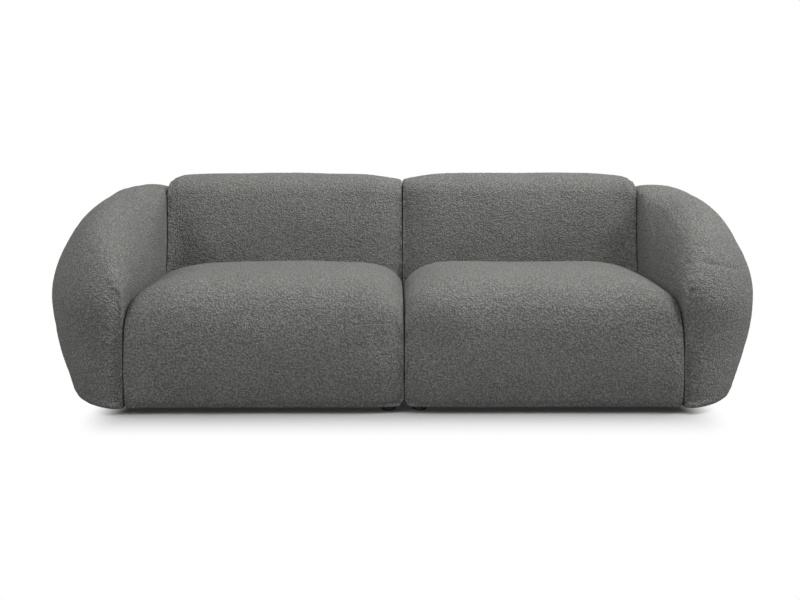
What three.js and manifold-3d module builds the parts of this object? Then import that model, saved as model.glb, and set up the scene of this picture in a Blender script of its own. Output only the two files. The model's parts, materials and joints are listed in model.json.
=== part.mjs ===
// A curved sofa in looped fabric, made of two halves that hook together in the middle.
// Millimetres, +Z up. The origin is on the floor under the middle of the sofa, and the front faces -Y.
// Everything is built once for the half on the +X side, and that half is mirrored for the other one.

import * as THREE from "three";
import { mergeVertices } from "three/addons/utils/BufferGeometryUtils.js";
import Module from "manifold-3d";

const wasm = await Module();
wasm.setup();

// Overall sizes
const overallWidth = 2450;
const overallDepth = 980;
const backHeight = 740;
const armHeight = 697;
const seatHeight = 432;
const seatDepth = 600;
const seatingWidth = 1752;
const floorGap = 20;

// Clearances, and how far a cutting block runs past what it cuts
const fitGap = 0.3;
const weldDistance = 0.001;
const halvesGap = 2;
const overrun = 60;

// The soft form of the seat
const seatForm = {
  frontRoll: 117,
  rearRoll: 26,
  bottomRoll: 18,
  frontBulge: 8,
  rearBulge: 0,
  crown: 10,
  middleReach: 150,
  middleDrop: 88,
  armReach: 170,
  armDrop: 86,
  cornerReach: 30,
  cornerDrop: 16,
};

// The soft form of the back
const backForm = {
  frontRoll: 74,
  rearRoll: 100,
  bottomRoll: 18,
  frontBulge: 8,
  rearBulge: 12,
  crown: 5,
  lean: 34,
  middleReach: 150,
  middleDrop: 38,
  armReach: 60,
  armDrop: 40,
  cornerReach: 60,
  cornerDrop: 30,
};

// The soft form of the arm. Seen from above it is the end of an ellipse, cut off where it meets the seat.
const armForm = {
  widestHeight: 335,
  endSetBack: 1,
  peakBehindMiddle: 270,
  innerRollWidth: 150,
  innerRollHeight: 290,
  innerRollRearHeight: 34,
  innerRollEase: 290,
  bottomRoll: 52,
  cornerReach: 34,
  cornerDrop: 20,
  endRoll: 18,
  endAngle: 78.2,
  crestWidthShare: 0.42,
  tuckShare: 0.3,
  innerRollShare: 0.85,
  innerPowerShare: 0.82,
  crestPowerShare: 1.2,
  frontPower: 2,
  rearPower: 3.4,
};

// Fabric with its wadding, over the foam: thick on what shows, thin where two pieces press together
const padding = 36;
const leastRoll = 6;
const sidePadding = 16;

// Timber frame
const railThickness = 30;
const railHeight = 160;
const frameLift = 2;
const frameSideInset = 20;
const frameFrontInset = 54;
const cornerAllowanceShare = 0.66;
const crossRailSetBack = 2;
const uprightWidth = 40;
const uprightDepth = 60;
const topRailHeight = 50;
const backPanelThickness = 6;

// Springs and the folded steel strips that they hook into
const spring = { count: 4, wireRadius: 2, halfWidth: 24, halfWaves: 19, rise: 2.2, steps: 57, sides: 5 };
const strip = { width: 24, sheet: 2, wirePlay: 0.5, lip: 22, endInset: 40 };

// Arm frame
const armBoardThickness = 18;
const ribThickness = 18;
const ribPlace = 230;
const ribCover = 40;
const ribTongue = 72;
const armOpeningDepth = 48;

// Feet, underside cloth and the hook that joins the halves
const foot = {
  radius: 23,
  chamfer: 3,
  edgeInset: 6,
  armSetBack: 159,
  holeGap: 1.5,
  sides: 20,
};
const cloth = { thickness: 0.7, bridge: 12 };
const hook = {
  length: 500,
  sheet: 3,
  socketHeight: 8.7,
  pinRadius: 5,
  pinClearance: 0.5,
  pinSpacing: 400,
  edgeInset: 2,
  barWidth: 26,
  legInset: 3,
  sides: 16,
};

// Places that several pieces share
const frontPlane = -overallDepth / 2;
const rearPlane = overallDepth / 2;
const backPlane = frontPlane + seatDepth;
const armPlane = seatingWidth / 2;
const frameBottom = floorGap + frameLift;
const railTop = frameBottom + railHeight;
const stripChannel = 2 * (spring.wireRadius + strip.wirePlay);
const stripHeight = 2 * strip.sheet + stripChannel;
const foamBottom = railTop + 2 * fitGap + stripHeight;
const frameFront = frontPlane + frameFrontInset;
const frameRear = rearPlane - padding - backForm.rearBulge - backForm.cornerDrop * cornerAllowanceShare;
const frameInner = frameSideInset;
const frameOuter = armPlane - fitGap / 2;
const bayFront = frameFront - fitGap;
const bayRear = frameRear + fitGap;
const railInner = frameInner + railThickness + fitGap;
const railOuter = frameOuter - railThickness - fitGap;
const armInner = armPlane + fitGap / 2;
const armEnd = rearPlane - armForm.endSetBack;
const armWidth = overallWidth / 2 - armInner;
const panelFront = frameRear - uprightDepth - fitGap - backPanelThickness;
const topRailTop =
  backHeight - backForm.crown - backForm.rearRoll - backForm.armDrop * cornerAllowanceShare;

// Materials
function surface(colour, roughness, metalness) {
  return new THREE.MeshStandardMaterial({ color: colour, roughness, metalness });
}
const boucle = surface(0x6b6b69, 0.95, 0);
const softFoam = surface(0xe6dcae, 0.9, 0);
const timber = surface(0xc9a36c, 0.7, 0);
const plywood = surface(0xb98f5a, 0.7, 0);
const springSteel = surface(0x77797c, 0.4, 1);
const zincSteel = surface(0xa9adb0, 0.35, 1);
const blackPlastic = surface(0x161616, 0.6, 0);
const blackCloth = surface(0x1b1b1c, 0.95, 0);

// Solids that can be joined and cut
function toSolid(geometry) {
  const bare = geometry.clone();
  bare.deleteAttribute("normal");
  bare.deleteAttribute("uv");
  const merged = mergeVertices(bare, weldDistance);
  return new wasm.Manifold(
    new wasm.Mesh({
      numProp: 3,
      vertProperties: merged.attributes.position.array,
      triVerts: new Uint32Array(merged.index.array),
    }),
  );
}

function toGeometry(solid) {
  const mesh = solid.getMesh();
  const geometry = new THREE.BufferGeometry();
  geometry.setAttribute("position", new THREE.BufferAttribute(mesh.vertProperties, 3));
  geometry.setIndex(new THREE.BufferAttribute(mesh.triVerts, 1));
  geometry.computeVertexNormals();
  return geometry;
}

function block(x0, x1, y0, y1, z0, z1) {
  const geometry = new THREE.BoxGeometry(x1 - x0, y1 - y0, z1 - z0);
  return geometry.translate((x0 + x1) / 2, (y0 + y1) / 2, (z0 + z1) / 2);
}

function solidBlock(x0, x1, y0, y1, z0, z1) {
  return toSolid(block(x0, x1, y0, y1, z0, z1));
}

// Joins rings of points into one closed skin, with a fan of triangles over each end
function loft(rings) {
  const count = rings[0].length;
  const points = rings.flat();
  const faces = [];
  for (let r = 0; r < rings.length - 1; r++)
    for (let i = 0; i < count; i++) {
      const a = r * count + i;
      const b = r * count + ((i + 1) % count);
      faces.push(a, b, b + count, a, b + count, a + count);
    }
  for (const [r, turned] of [[0, false], [rings.length - 1, true]]) {
    const middle = new THREE.Vector3();
    for (const point of rings[r]) middle.addScaledVector(point, 1 / count);
    points.push(middle);
    for (let i = 0; i < count; i++) {
      const a = r * count + i;
      const b = r * count + ((i + 1) % count);
      faces.push(...(turned ? [a, b, points.length - 1] : [b, a, points.length - 1]));
    }
  }
  return new THREE.BufferGeometry().setFromPoints(points).setIndex(faces);
}

// How far a puffed face has dropped away at some distance from the end of the cushion
function endDrop(distance, reach, drop) {
  if (distance >= reach) return 0;
  const share = 1 - Math.max(distance, 0) / reach;
  return drop * (1 - Math.sqrt(1 - share * share));
}

// Places along a cushion, close together where its ends round off
function placesAlong(start, end, startReach, endReach, endSteps, middleSteps) {
  const ease = (i) => 1 - Math.cos(((i / endSteps) * Math.PI) / 2);
  const places = [];
  for (let i = 0; i <= endSteps; i++) places.push(start + startReach * ease(i));
  for (let i = 1; i < middleSteps; i++)
    places.push(THREE.MathUtils.lerp(start + startReach, end - endReach, i / middleSteps));
  for (let i = endSteps; i >= 0; i--) places.push(end - endReach * ease(i));
  return places;
}

// Points round a quarter of an ellipse, from one angle to another in degrees. A power over 1 flattens it.
function quarter(y, z, radiusY, radiusZ, from, to, steps, power = 1) {
  const flatten = (value) => Math.sign(value) * Math.abs(value) ** power;
  return Array.from({ length: steps + 1 }, (_, i) => {
    const angle = THREE.MathUtils.degToRad(from + ((to - from) * i) / steps);
    return [y + radiusY * flatten(Math.cos(angle)), z + radiusZ * flatten(Math.sin(angle))];
  });
}

// The points between two corners, pushed out along y and z by a bulge that is largest half way
function between([y0, z0], [y1, z1], bulgeY, bulgeZ, steps) {
  return Array.from({ length: steps - 1 }, (_, i) => {
    const share = (i + 1) / steps;
    const swell = Math.sin(share * Math.PI);
    return [
      THREE.MathUtils.lerp(y0, y1, share) + bulgeY * swell,
      THREE.MathUtils.lerp(z0, z1, share) + bulgeZ * swell,
    ];
  });
}

// Step counts for the outside of a soft piece, and for what lies inside it, whose faces are flat
const fine = { roll: 5, face: 4, corner: 2, ends: 5, middle: 4 };
const coarse = { roll: 3, face: 1, corner: 1, ends: 2, middle: 2 };

// The outline of a cushion cut across, from the bottom front corner back, up, forward and down
function cushionOutline(form, size, detail) {
  const { front, rear, bottom, wallBottom, top, lean, kneeZ, inset } = size;
  const low = Math.max(form.bottomRoll - inset, leastRoll);
  const most = top - wallBottom - low;
  const nose = Math.min(Math.max(form.frontRoll - inset, leastRoll), most);
  const heel = Math.min(Math.max(form.rearRoll - inset, leastRoll), most);
  const bottomFront = quarter(front + low, bottom + low, low, low, 180, 270, detail.corner);
  const bottomRear = quarter(rear - low, bottom + low, low, low, 270, 360, detail.corner);
  const topRear = quarter(rear - heel, top - heel, heel, heel, 0, 90, detail.roll);
  const topFront = quarter(front + lean + nose, top - nose, nose, nose, 90, 180, detail.roll);
  const faceBottom = kneeZ ? [front, kneeZ] : bottomFront[0];
  return [
    ...bottomFront,
    ...bottomRear,
    ...between(bottomRear.at(-1), topRear[0], form.rearBulge, 0, detail.face),
    ...topRear,
    ...between(topRear.at(-1), topFront[0], 0, form.crown, detail.face),
    ...topFront,
    ...between(topFront.at(-1), faceBottom, -form.frontBulge, 0, detail.face),
    ...(kneeZ ? [faceBottom] : []),
  ];
}

// A cushion between the middle of the sofa and the arm. The inset makes the same form smaller all round.
function cushion(form, place, inset, sideInset, bottom, detail) {
  const start = halvesGap / 2 + sideInset;
  const end = armPlane - fitGap / 2 - sideInset;
  const places = placesAlong(start, end, form.middleReach, form.armReach, detail.ends, detail.middle);
  const rings = places.map((x) => {
    const nearest = Math.min(x - start, end - x);
    const corner = endDrop(nearest, form.cornerReach, form.cornerDrop);
    const drop =
      endDrop(x - start, form.middleReach, form.middleDrop) + endDrop(end - x, form.armReach, form.armDrop);
    const outline = cushionOutline(
      form,
      {
        front: place.front + inset + (place.frontIsOpen ? form.frontBulge + corner : 0),
        rear: place.rear - inset - (place.rearIsOpen ? form.rearBulge + corner : 0),
        top: place.top - form.crown - inset - drop,
        lean: place.lean + (place.lean ? corner : 0),
        kneeZ: place.kneeZ,
        bottom,
        wallBottom: inset ? foamBottom : bottom,
        inset,
      },
      detail,
    );
    return outline.map(([y, z]) => new THREE.Vector3(x, y, z));
  });
  return loft(rings);
}

const seatPlace = {
  front: frontPlane,
  rear: backPlane - fitGap / 2,
  top: seatHeight,
  lean: 0,
  kneeZ: 0,
  frontIsOpen: true,
  rearIsOpen: false,
};
const backPlace = {
  front: backPlane + fitGap / 2,
  rear: rearPlane,
  top: backHeight,
  lean: backForm.lean,
  kneeZ: seatHeight - seatForm.armDrop,
  frontIsOpen: false,
  rearIsOpen: true,
};

const seatSkin = (inset, side, bottom, detail) => cushion(seatForm, seatPlace, inset, side, bottom, detail);
const backSkin = (inset, side, bottom, detail) => cushion(backForm, backPlace, inset, side, bottom, detail);

// The height of the arm's top at a place along its depth: low in front, high behind
function armTop(y, end, height) {
  const peak = armForm.peakBehindMiddle;
  const ahead = y < peak;
  const share = Math.min(Math.abs((y - peak) / (ahead ? -end - peak : end - peak)), 1);
  const power = ahead ? armForm.frontPower : armForm.rearPower;
  return armForm.widestHeight + (height - armForm.widestHeight) * (1 - share ** power) ** (1 / power);
}

// How wide the arm is below its widest height, as a share of that width
function tuck(z) {
  const below = 1 - z / armForm.widestHeight;
  return 1 - armForm.tuckShare * below * below;
}

const armFine = { stations: 20, wall: 2, roll: 5, crest: 8, lower: 4, foot: 4 };
const armCoarse = { stations: 10, wall: 1, roll: 3, crest: 4, lower: 2, foot: 1 };

// How far down the roll over the arm's inner edge reaches: far in front, little where the back stands
function innerRollDepth(y) {
  const behind = THREE.MathUtils.smoothstep(y, backPlane - armForm.innerRollEase, backPlane);
  return THREE.MathUtils.lerp(armForm.innerRollHeight, armForm.innerRollRearHeight, behind);
}

// The outline of the arm cut across, from the inner bottom edge up the wall, over and down the outside
function armOutline(y, { inner, outer: widest, rollX }, top, bottom, roundBottom, detail) {
  const width = widest - inner;
  const rise = top - armForm.widestHeight;
  const rollZ = Math.min(innerRollDepth(y), armForm.innerRollShare * rise);
  const wallTop = [inner, top - rollZ];
  const innerRoll = quarter(
    inner + rollX,
    top - rollZ,
    rollX,
    rollZ,
    180,
    90,
    detail.roll,
    armForm.innerPowerShare,
  );
  const crest = quarter(
    inner + rollX,
    armForm.widestHeight,
    width - rollX,
    rise,
    90,
    0,
    detail.crest,
    armForm.crestPowerShare,
  );
  const points = [[inner, bottom], ...between([inner, bottom], wallTop, 0, 0, detail.wall)];
  points.push(...innerRoll, ...crest.slice(1));
  const lowest = floorGap + armForm.bottomRoll;
  for (let i = 1; i <= detail.lower; i++) {
    const z = THREE.MathUtils.lerp(armForm.widestHeight, lowest, i / detail.lower);
    points.push([inner + width * tuck(z), z]);
  }
  const outer = inner + width * tuck(lowest);
  const roll = Math.min(armForm.bottomRoll, armForm.crestWidthShare * width);
  const foot = quarter(outer - roll, lowest, roll, lowest - bottom, 0, -90, detail.foot).slice(1);
  points.push(...(roundBottom ? foot : [[outer, bottom]]));
  return points;
}

// The skins of the arm: the fabric's outside, the room inside the cover, and the ribs inside that.
// An inset draws the outside in, side draws the inner wall in, and shrink draws every face in alike.
const armOutside = { inset: 0, side: 0, shrink: 0 };
const armRoom = (shrink) => ({ inset: padding, side: sidePadding, shrink });
const armRib = (shrink) => ({ inset: padding + ribCover, side: sidePadding + ribCover, shrink });

// Where one skin of the arm lies across the sofa at a place along its depth
function armPlan(y, { inset, side, shrink }) {
  const last = THREE.MathUtils.degToRad(armForm.endAngle);
  const end = armEnd - inset - shrink;
  const angle = Math.asin((y * Math.sin(last)) / end);
  const share = (Math.cos(angle) - Math.cos(last)) / (1 - Math.cos(last));
  const reach = Math.max(armForm.cornerReach - inset, leastRoll);
  const least = side + reach + leastRoll;
  const inner = armInner + side + endDrop(end - Math.abs(y), armForm.cornerDrop, reach);
  const outer = armInner + least + (armWidth - inset - least) * share;
  const rollX = Math.min(armForm.innerRollWidth, armForm.crestWidthShare * (outer - inner));
  return { inner: inner + shrink, outer: outer - shrink, rollX: rollX - shrink };
}

function armSkin(skin, bottom, roundBottom, detail) {
  const last = THREE.MathUtils.degToRad(armForm.endAngle);
  const end = armEnd - skin.inset - skin.shrink;
  const rings = [];
  for (let i = 0; i <= detail.stations; i++) {
    const angle = last * Math.sin(Math.PI * (i / detail.stations - 1 / 2));
    const y = (end * Math.sin(angle)) / Math.sin(last);
    const height = armTop(y, end, armHeight - skin.inset - skin.shrink);
    const top = Math.max(height, armForm.widestHeight + leastRoll);
    const lift = roundBottom ? endDrop(end - Math.abs(y), armForm.endRoll, armForm.endRoll) : 0;
    const outline = armOutline(y, armPlan(y, skin), top, bottom + lift, roundBottom, detail);
    rings.push(outline.map(([x, z]) => new THREE.Vector3(x, y, z)));
  }
  return loft(rings);
}

// The room inside the arm, with the opening through which its frame meets the seat's frame
function armCore(shrink, bottom) {
  const form = toSolid(armSkin(armRoom(shrink), bottom, false, armCoarse));
  const opening = solidBlock(
    shrink ? armInner : armInner - overrun,
    armInner + armOpeningDepth,
    bayFront + shrink,
    bayRear - shrink,
    bottom,
    foamBottom - shrink,
  );
  return form.add(opening);
}

// The room inside one half that holds the rails and springs: the covers are open round it
function frameBay() {
  return solidBlock(frameInner - fitGap, armPlane + overrun, bayFront, bayRear, -overrun, foamBottom);
}

function seatCover() {
  const hollow = toSolid(seatSkin(padding, sidePadding, -overrun, coarse));
  return toGeometry(toSolid(seatSkin(0, 0, floorGap, fine)).subtract(hollow).subtract(frameBay()));
}

function backCover() {
  const hollow = toSolid(backSkin(padding, sidePadding, -overrun, coarse));
  return toGeometry(toSolid(backSkin(0, 0, floorGap, fine)).subtract(hollow).subtract(frameBay()));
}

function armCover() {
  return toGeometry(toSolid(armSkin(armOutside, floorGap, true, armFine)).subtract(armCore(0, -overrun)));
}

function seatFoam() {
  return seatSkin(padding + fitGap, sidePadding + fitGap, foamBottom, coarse);
}

// The foam of the back lies against the panel and folds over the top rail
function backFoam() {
  const form = toSolid(backSkin(padding + fitGap, sidePadding + fitGap, foamBottom, coarse));
  const behind = solidBlock(
    -overrun,
    armPlane + overrun,
    panelFront - fitGap,
    rearPlane + overrun,
    -overrun,
    topRailTop + fitGap,
  );
  return toGeometry(form.subtract(behind));
}

// One rib of the arm frame, a plywood board on edge with a tongue that meets the seat's frame
function ribSolid(y, grow) {
  const bottom = frameBottom + armBoardThickness + fitGap - grow;
  const form = toSolid(armSkin(armRib(-grow), bottom, false, armCoarse));
  const low = grow ? bottom - overrun : bottom;
  const half = ribThickness / 2 + grow;
  const tongue = solidBlock(armInner, armInner + ribTongue + grow, y - half, y + half, low, railTop + grow);
  const slice = solidBlock(0, overallWidth, y - half, y + half, low, backHeight);
  return form.add(tongue).intersect(slice);
}

function armFoam() {
  const bottom = frameBottom + armBoardThickness + fitGap;
  const above = solidBlock(0, overallWidth, -overallDepth, overallDepth, bottom, backHeight);
  return toGeometry(
    armCore(fitGap, frameBottom)
      .intersect(above)
      .subtract(ribSolid(-ribPlace, fitGap))
      .subtract(ribSolid(ribPlace, fitGap)),
  );
}

function armBoard() {
  const slab = solidBlock(
    0,
    overallWidth,
    -overallDepth,
    overallDepth,
    frameBottom,
    frameBottom + armBoardThickness,
  );
  return toGeometry(armCore(fitGap, 0).intersect(slab));
}

// The feet stand inside the edges of the seat's frame, and inside the outer edge of the arm's board
const footInset = foot.radius + foot.edgeInset;
const armFootY = armEnd - foot.armSetBack;
const boardPlan = armPlan(armFootY, armRoom(0));
const boardEdge = boardPlan.inner + (boardPlan.outer - boardPlan.inner) * tuck(frameBottom);
const armFootX = boardEdge - footInset;
const footPlaces = {
  foot_middle_front: [frameInner + footInset, frameFront + footInset],
  foot_middle_rear: [frameInner + footInset, frameRear - footInset],
  foot_arm_front: [armFootX, -armFootY],
  foot_arm_rear: [armFootX, armFootY],
};

function footShape() {
  const top = frameBottom - fitGap;
  const profile = [
    [0, 0],
    [foot.radius - foot.chamfer, 0],
    [foot.radius, foot.chamfer],
    [foot.radius, top],
    [0, top],
  ];
  const lathe = new THREE.LatheGeometry(
    profile.map(([radius, height]) => new THREE.Vector2(radius, height)),
    foot.sides,
  );
  return lathe.rotateX(Math.PI / 2);
}

// The black cloth stapled under the frame, with a hole round each foot
function undersideCloth() {
  const top = frameBottom - fitGap;
  const under = solidBlock(frameInner, frameOuter, frameFront, frameRear, top - cloth.thickness, top);
  const slab = solidBlock(0, overallWidth, -overallDepth, overallDepth, top - cloth.thickness, top);
  const joint = solidBlock(
    armPlane - cloth.bridge,
    armPlane + cloth.bridge,
    frameFront,
    frameRear,
    top - cloth.thickness,
    top,
  );
  let sheet = under.add(armCore(fitGap, 0).intersect(slab)).add(joint);
  for (const [x, y] of Object.values(footPlaces)) {
    const hole = new THREE.CylinderGeometry(
      foot.radius + foot.holeGap,
      foot.radius + foot.holeGap,
      overrun,
      foot.sides,
    );
    sheet = sheet.subtract(toSolid(hole.rotateX(Math.PI / 2).translate(x, y, top)));
  }
  return toGeometry(sheet);
}

// A flat outline in Y and Z, drawn out along X
function drawnAlongX(outline, start, length) {
  const shape = new THREE.Shape(outline.map(([y, z]) => new THREE.Vector2(y, z)));
  const geometry = new THREE.ExtrudeGeometry(shape, { depth: length, bevelEnabled: false });
  const turn = new THREE.Matrix4().set(0, 0, 1, start, 1, 0, 0, 0, 0, 1, 0, 0, 0, 0, 0, 1);
  return geometry.applyMatrix4(turn);
}

// A folded strip on top of a rail. The springs hook under its lip, which opens towards the other rail.
function springStrip(railFront, opensTo) {
  const bottom = railTop + fitGap;
  const top = bottom + stripHeight;
  const middle = railFront + railThickness / 2;
  const shut = middle - (opensTo * strip.width) / 2;
  const open = shut + opensTo * strip.width;
  const lip = shut + opensTo * strip.lip;
  const web = shut + opensTo * strip.sheet;
  const outline = [
    [shut, bottom],
    [open, bottom],
    [open, bottom + strip.sheet],
    [web, bottom + strip.sheet],
    [web, top - strip.sheet],
    [lip, top - strip.sheet],
    [lip, top],
    [shut, top],
  ];
  if (opensTo < 0) outline.reverse();
  const start = railInner + strip.endInset;
  return drawnAlongX(outline, start, railOuter - strip.endInset - start);
}

// A zigzag spring: bars across the seat joined by round bends, rising a little towards the middle
class ZigzagCurve extends THREE.Curve {
  constructor(start, end) {
    super();
    this.start = start;
    this.end = end;
  }

  getPoint(t, target = new THREE.Vector3()) {
    const turn = spring.halfWaves * Math.PI * t - Math.PI / 2;
    const pitch = (this.end - this.start) / spring.halfWaves;
    const y = this.start + (this.end - this.start) * t - (pitch / (2 * Math.PI)) * Math.sin(2 * turn);
    const z = spring.rise * Math.sin(Math.PI * t);
    return target.set(spring.halfWidth * Math.sin(turn), y, z);
  }

  getPointAt(u, target) {
    return this.getPoint(u, target);
  }

  getTangentAt(u, target) {
    return this.getTangent(u, target);
  }
}

const crossRailFront = backPlane + crossRailSetBack;
const springStart = frameFront + railThickness / 2 - strip.width / 2 + 2 * strip.sheet + spring.wireRadius;
const springEnd = crossRailFront + railThickness / 2 + strip.width / 2 - 2 * strip.sheet - spring.wireRadius;

function zigzagSpring() {
  const section = new THREE.Shape(
    Array.from({ length: spring.sides }, (_, i) => {
      const angle = (2 * Math.PI * i) / spring.sides;
      return new THREE.Vector2(spring.wireRadius * Math.cos(angle), spring.wireRadius * Math.sin(angle));
    }),
  );
  return new THREE.ExtrudeGeometry(section, {
    steps: spring.steps,
    extrudePath: new ZigzagCurve(springStart, springEnd),
    bevelEnabled: false,
  });
}

const hookTop = frameBottom - 2 * fitGap - cloth.thickness;
const socketMiddle = frameInner + hook.edgeInset + hook.barWidth / 2;
const plateTop = hookTop - hook.socketHeight - 2 * fitGap;

function pinAt(y, radius, z0, z1) {
  const pin = new THREE.CylinderGeometry(radius, radius, z1 - z0, hook.sides);
  return toSolid(pin.rotateX(Math.PI / 2).translate(socketMiddle, y, (z0 + z1) / 2));
}

// The bar under the +X half: two holes take the pins from below
function socketBar() {
  const half = hook.barWidth / 2;
  const reach = hook.length / 2;
  let bar = solidBlock(
    socketMiddle - half,
    socketMiddle + half,
    -reach,
    reach,
    hookTop - hook.socketHeight,
    hookTop,
  );
  for (const y of [-hook.pinSpacing / 2, hook.pinSpacing / 2])
    bar = bar.subtract(pinAt(y, hook.pinRadius + hook.pinClearance, -overrun, overrun));
  return toGeometry(bar);
}

// The bar under the -X half: a stepped plate that reaches under the other half and carries two pins
function pinBar() {
  const reach = hook.length / 2;
  const outer = -socketMiddle - hook.barWidth / 2;
  const leg = -frameInner - hook.legInset;
  const far = socketMiddle + hook.barWidth / 2;
  const plateBottom = plateTop - hook.sheet;
  let bar = solidBlock(outer, leg, -reach, reach, hookTop - hook.sheet, hookTop)
    .add(solidBlock(leg - hook.sheet, leg, -reach, reach, plateBottom, hookTop))
    .add(solidBlock(leg - hook.sheet, far, -reach, reach, plateBottom, plateTop));
  for (const y of [-hook.pinSpacing / 2, hook.pinSpacing / 2])
    bar = bar.add(pinAt(y, hook.pinRadius, plateBottom, hookTop - hook.pinClearance));
  return toGeometry(bar);
}

// Builds one half. side is 1 for the +X half and -1 for its mirror image.
function sofaHalf(side) {
  const half = new THREE.Group();
  const ending = side > 0 ? "_right" : "_left";
  half.scale.x = side;

  const add = (name, geometry, material, x = 0, y = 0, z = 0) => {
    const mesh = new THREE.Mesh(geometry, material);
    mesh.name = name + ending;
    mesh.position.set(x, y, z);
    half.add(mesh);
  };

  const board = (name, material, ...limits) => add(name, block(...limits), material);
  const rail = (name, x0, x1, y0, y1) => board(name, timber, x0, x1, y0, y1, frameBottom, railTop);
  rail("rail_middle", frameInner, frameInner + railThickness, frameFront, frameRear);
  rail("rail_arm", frameOuter - railThickness, frameOuter, frameFront, frameRear);
  rail("rail_front", railInner, railOuter, frameFront, frameFront + railThickness);
  rail("rail_cross", railInner, railOuter, crossRailFront, crossRailFront + railThickness);

  const uprightInner = railInner + uprightWidth;
  const uprightOuter = railOuter - uprightWidth;
  const uprightFront = frameRear - uprightDepth;
  const uprightTop = topRailTop - topRailHeight - fitGap;
  rail("rail_rear", uprightInner + fitGap, uprightOuter - fitGap, frameRear - railThickness, frameRear);
  board("upright_middle", timber, railInner, uprightInner, uprightFront, frameRear, frameBottom, uprightTop);
  board("upright_arm", timber, uprightOuter, railOuter, uprightFront, frameRear, frameBottom, uprightTop);
  board("top_rail", timber, railInner, railOuter, uprightFront, frameRear, uprightTop + fitGap, topRailTop);
  board(
    "back_panel",
    plywood,
    railInner,
    railOuter,
    panelFront,
    panelFront + backPanelThickness,
    foamBottom,
    topRailTop,
  );

  add("spring_strip_front", springStrip(frameFront, 1), zincSteel);
  add("spring_strip_rear", springStrip(crossRailFront, -1), zincSteel);
  const springHeight = railTop + fitGap + strip.sheet + stripChannel / 2;
  const springRoom = (railOuter - railInner) / spring.count;
  for (let i = 0; i < spring.count; i++)
    add(
      `seat_spring_${i + 1}`,
      zigzagSpring(),
      springSteel,
      railInner + springRoom * (i + 1 / 2),
      0,
      springHeight,
    );

  add("arm_board", armBoard(), plywood);
  add("arm_rib_front", toGeometry(ribSolid(-ribPlace, 0)), plywood);
  add("arm_rib_rear", toGeometry(ribSolid(ribPlace, 0)), plywood);

  add("seat_foam", seatFoam(), softFoam);
  add("back_foam", backFoam(), softFoam);
  add("arm_foam", armFoam(), softFoam);

  add("seat_cover", seatCover(), boucle);
  add("back_cover", backCover(), boucle);
  add("arm_cover", armCover(), boucle);

  add("underside_cloth", undersideCloth(), blackCloth);
  for (const [name, [x, y]] of Object.entries(footPlaces)) add(name, footShape(), blackPlastic, x, y);
  return half;
}

const sofa = new THREE.Group();
sofa.add(sofaHalf(-1), sofaHalf(1));

const sockets = new THREE.Mesh(socketBar(), zincSteel);
sockets.name = "hook_sockets_right";
const pins = new THREE.Mesh(pinBar(), zincSteel);
pins.name = "hook_pins_left";
sofa.add(sockets, pins);

export default sofa;
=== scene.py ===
import json
import math
import time

import bmesh
import bpy
import numpy as np
from mathutils import Euler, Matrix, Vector, kdtree

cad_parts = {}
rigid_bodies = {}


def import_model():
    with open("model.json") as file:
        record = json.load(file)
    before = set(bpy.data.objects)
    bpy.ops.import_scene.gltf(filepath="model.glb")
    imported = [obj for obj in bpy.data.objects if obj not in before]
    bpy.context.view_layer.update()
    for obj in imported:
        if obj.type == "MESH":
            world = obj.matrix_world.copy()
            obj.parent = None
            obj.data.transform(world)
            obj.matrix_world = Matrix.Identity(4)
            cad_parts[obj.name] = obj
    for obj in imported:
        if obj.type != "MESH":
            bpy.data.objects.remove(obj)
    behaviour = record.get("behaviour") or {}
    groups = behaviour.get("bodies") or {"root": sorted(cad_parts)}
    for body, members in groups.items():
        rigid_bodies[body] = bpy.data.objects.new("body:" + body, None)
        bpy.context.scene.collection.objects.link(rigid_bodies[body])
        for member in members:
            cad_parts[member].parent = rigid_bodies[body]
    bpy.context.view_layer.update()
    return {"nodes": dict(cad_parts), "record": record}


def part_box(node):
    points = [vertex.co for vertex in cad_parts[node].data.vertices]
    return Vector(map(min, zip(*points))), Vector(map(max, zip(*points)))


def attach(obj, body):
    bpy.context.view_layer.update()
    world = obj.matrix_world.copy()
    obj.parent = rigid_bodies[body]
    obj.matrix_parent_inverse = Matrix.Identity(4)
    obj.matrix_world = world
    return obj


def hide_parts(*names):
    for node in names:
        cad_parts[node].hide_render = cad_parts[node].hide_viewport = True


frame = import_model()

nodes = frame["nodes"]
sides = {"left": -1, "right": 1}
millimetre = 0.001
mergeDistance = 0.01 * millimetre
startTime = time.time()


def report(text):
    print(f"sofa: {text} ({time.time() - startTime:.1f} s)")


# Small helpers for selecting, copying and finishing pieces

def deselectAll():
    for obj in bpy.context.view_layer.objects:
        obj.select_set(False)


def makeActive(obj):
    deselectAll()
    obj.select_set(True)
    bpy.context.view_layer.objects.active = obj


def applyModifier(obj, kind, **settings):
    makeActive(obj)
    modifier = obj.modifiers.new(kind.lower(), kind)
    for key, value in settings.items():
        setattr(modifier, key, value)
    bpy.ops.object.modifier_apply(modifier=modifier.name)


def joinedCopy(nodeNames, name):
    # a piece of its own from the triangles of some CAD nodes, with their doubles merged
    mesh = bpy.data.meshes.new(name)
    merged = bmesh.new()
    for nodeName in nodeNames:
        merged.from_mesh(nodes[nodeName].data)
    bmesh.ops.remove_doubles(merged, verts=merged.verts, dist=mergeDistance)
    merged.to_mesh(mesh)
    merged.free()
    obj = bpy.data.objects.new(name, mesh)
    bpy.context.scene.collection.objects.link(obj)
    return obj


def editMesh(obj, *steps):
    # runs edit-mode operators on everything in a piece
    makeActive(obj)
    bpy.ops.object.mode_set(mode="EDIT")
    bpy.ops.mesh.select_all(action="SELECT")
    for step in steps:
        step()
    bpy.ops.object.mode_set(mode="OBJECT")


def pointsOf(obj):
    points = np.zeros(len(obj.data.vertices) * 3, np.float32)
    obj.data.vertices.foreach_get("co", points)
    return points.reshape(-1, 3).astype(float)


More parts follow.
